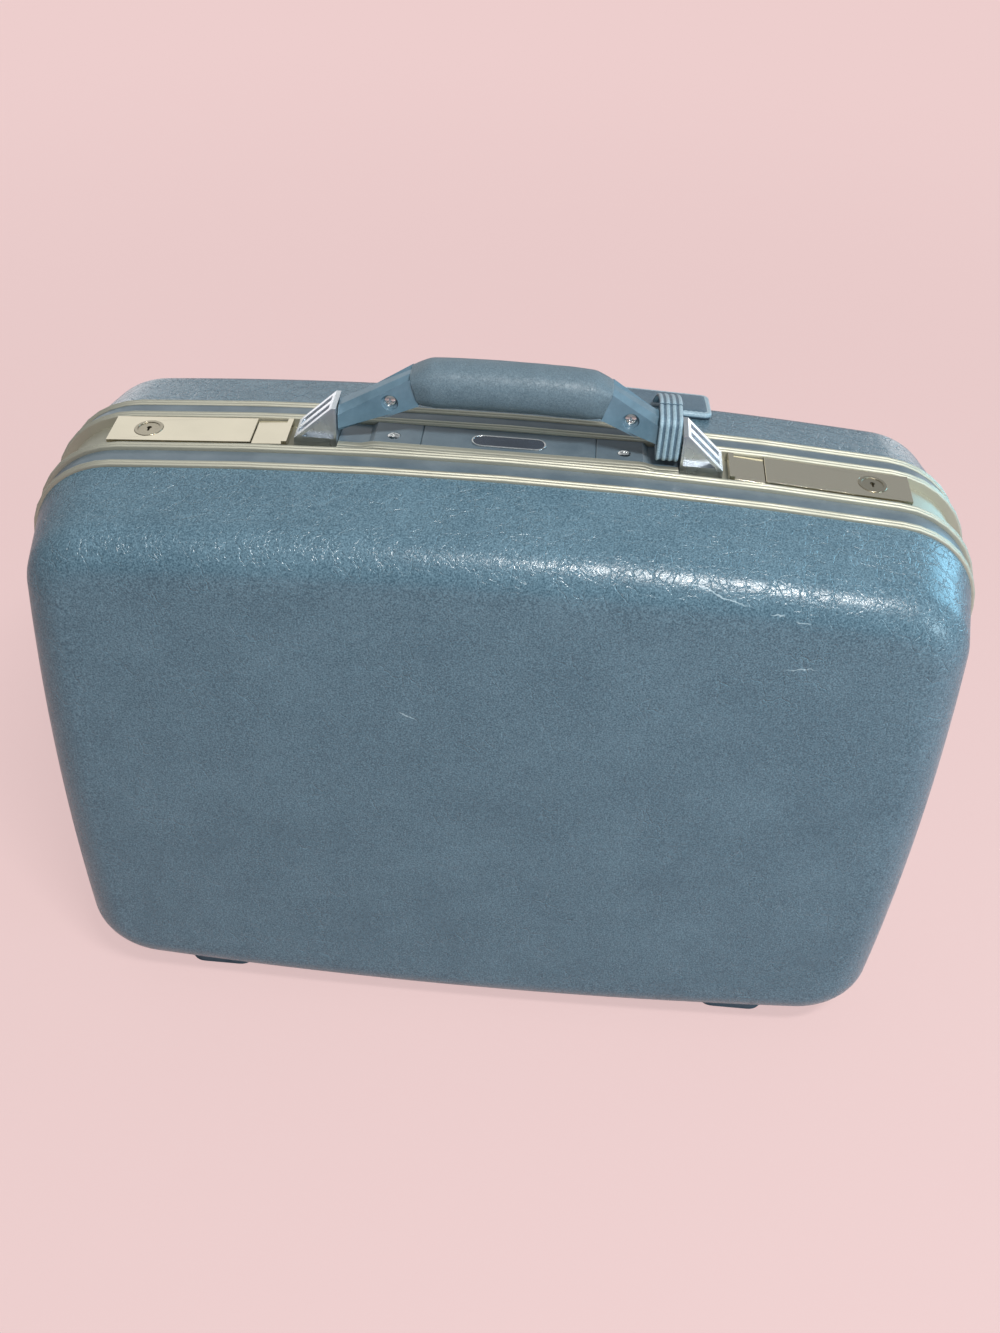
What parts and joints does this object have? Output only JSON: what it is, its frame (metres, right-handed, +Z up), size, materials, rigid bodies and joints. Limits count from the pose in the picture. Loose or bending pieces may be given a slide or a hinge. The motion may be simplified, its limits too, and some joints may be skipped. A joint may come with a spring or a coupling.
{
  "type": "vintage suitcase",
  "caption": "Hard-shell vintage suitcase with a double-beaded metal frame, flush sliding latches with key locks, a swinging padded handle and an address tag.",
  "frame": {"origin": "on the floor, under the middle of the case, between the feet", "axes": "+X along the case's width, +Y through its depth from the lid to the rear half, +Z up"},
  "size_m": [0.5336, 0.189, 0.4317],
  "materials": {
    "shell": "moulded plastic with a fine leather grain, satin",
    "stripe": "smooth inlaid strip",
    "frame": "champagne anodised",
    "latch": "polished, warm silver",
    "plated": "plated die casting",
    "steel": "plated sheet steel",
    "moulding": "smooth moulding",
    "grip": "padded, leather-grained cover",
    "foot": "moulded",
    "lining": "woven satin lining",
    "webbing": "woven webbing and elastic",
    "tag": "grained, stitched edges",
    "window": "clouded clear sheet",
    "badge": "enamelled, left bare"
  },
  "bodies": {
    "case_body": {"body_shell": "shell", "body_frame": "frame", "body_stripe": "stripe", "body_lining": "lining", "body_feet": "foot", "hinge_leaves_body": "steel", "hinge_pins": "steel", "handle_base": "moulding", "handle_base_ends": "moulding", "base_screws": "steel", "badge_rim": "plated", "badge_field": "badge", "bracket_left": "plated", "bracket_right": "plated", "pivot_pins": "steel", "latch_tray_left": "steel", "latch_tray_right": "steel", "latch_cover_left": "latch", "latch_cover_right": "latch", "lock_rings": "latch", "latch_spring_left": "steel", "latch_spring_right": "steel", "pack_strap_upper": "webbing", "pack_strap_lower": "webbing", "pack_buckle": "plated", "pack_anchors": "steel"},
    "lid": {"lid_shell": "shell", "lid_frame": "frame", "lid_stripe": "stripe", "lid_lining": "lining", "lid_feet": "foot", "hinge_leaves_lid": "steel", "latch_keepers": "steel", "lid_pocket": "lining", "lid_pocket_band": "webbing"},
    "latch_slide_left": {"latch_slide_left": "latch"},
    "latch_slide_right": {"latch_slide_right": "latch"},
    "lock_plug_left": {"lock_plug_left": "latch"},
    "lock_plug_right": {"lock_plug_right": "latch"},
    "handle": {"handle_grip": "grip", "handle_core": "steel", "handle_leg_left": "moulding", "handle_leg_right": "moulding", "leg_screws": "steel"},
    "tag": {"tag_strap": "tag", "tag_pouch": "tag", "tag_window": "window"}
  },
  "joints": [
    {"name": "lid_hinge", "type": "hinge", "parent": "case_body", "child": "lid", "pos_m": [0, -0.01345, 0.00405], "axis": [1, 0, 0], "range_deg": [0, 165]},
    {"name": "handle_swing", "type": "hinge", "parent": "case_body", "child": "handle", "pos_m": [0, 0.00105, 0.3933], "axis": [1, 0, 0], "range_deg": [-80, 80], "deforming": ["tag_strap"]},
    {"name": "tag_turn", "type": "hinge", "parent": "handle", "child": "tag", "pos_m": [0, 0.00105, 0.3933], "axis": [1, 0, 0], "range_deg": [-80, 80], "deforming": ["tag_strap"]},
    {"name": "latch_slide_left", "type": "slide", "parent": "case_body", "child": "latch_slide_left", "axis": [-0.9976, 0, -0.0694], "range_m": [0, 0.008], "stiffness_N_per_m": 250, "springref_m": -0.004, "deforming": ["latch_spring_left"]},
    {"name": "lock_turn_left", "type": "hinge", "parent": "case_body", "child": "lock_plug_left", "pos_m": [-0.19913, 0.00105, 0.37582], "axis": [-0.0694, 0, 0.9976], "range_deg": [0, 90]},
    {"name": "latch_slide_right", "type": "slide", "parent": "case_body", "child": "latch_slide_right", "axis": [0.9976, 0, -0.0694], "range_m": [0, 0.008], "stiffness_N_per_m": 250, "springref_m": -0.004, "deforming": ["latch_spring_right"]},
    {"name": "lock_turn_right", "type": "hinge", "parent": "case_body", "child": "lock_plug_right", "pos_m": [0.19913, 0.00105, 0.37582], "axis": [0.0694, 0, 0.9976], "range_deg": [0, 90]}
  ],
  "couplings": [
    {"joint": "tag_turn", "follows": "handle_swing", "ratio": -1}
  ]
}
